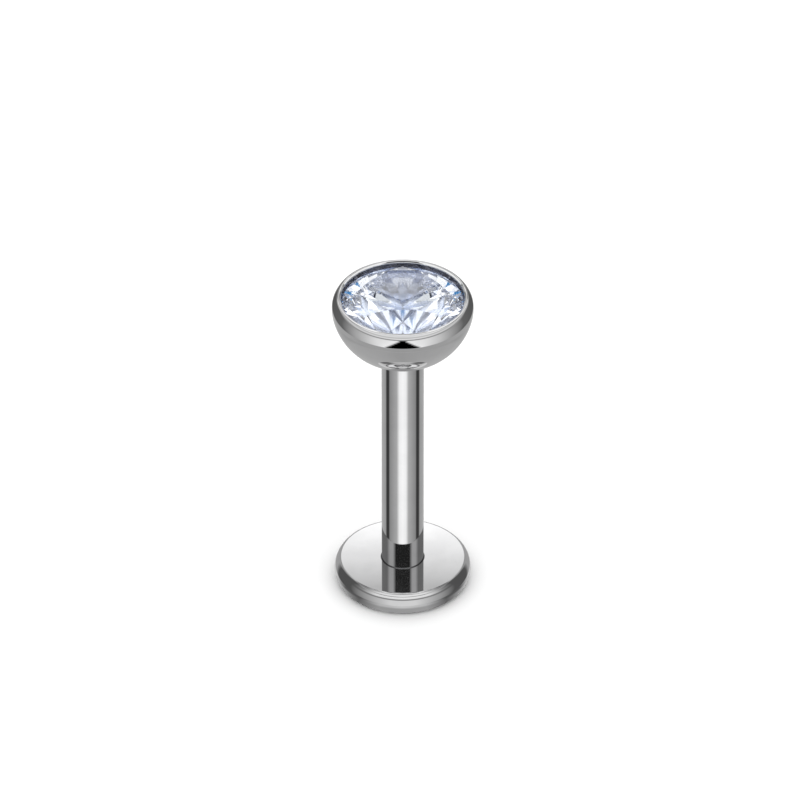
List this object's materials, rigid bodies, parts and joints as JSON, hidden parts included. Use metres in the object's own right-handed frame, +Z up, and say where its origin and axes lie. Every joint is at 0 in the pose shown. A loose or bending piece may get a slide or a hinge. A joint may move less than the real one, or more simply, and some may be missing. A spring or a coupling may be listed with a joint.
{
  "type": "labret stud",
  "caption": "Flat-back labret stud for a piercing: a hollow post on a round disc, and a push-in half-ball end that holds a round brilliant stone.",
  "frame": {"origin": "centre of the disc's underside, on the surface that the stud stands on", "axes": "+Z up the post towards the stone; two opposite table edges lie along X"},
  "size_m": [0.004, 0.004, 0.01],
  "materials": {
    "post_metal": "mirror-polished titanium, slightly warm grey",
    "cup_metal": "mirror-polished titanium, lip burnished over the stone",
    "stone": "colourless cut stone with a faint blue cast, brilliant polish"
  },
  "bodies": {
    "base": {"flat_back_post": "post_metal"},
    "top": {"bezel_cup": "cup_metal", "stone": "stone"}
  },
  "joints": [
    {"name": "top_pull", "type": "slide", "parent": "base", "child": "top", "axis": [0, 0, 1], "range_m": [0, 0.012]}
  ]
}
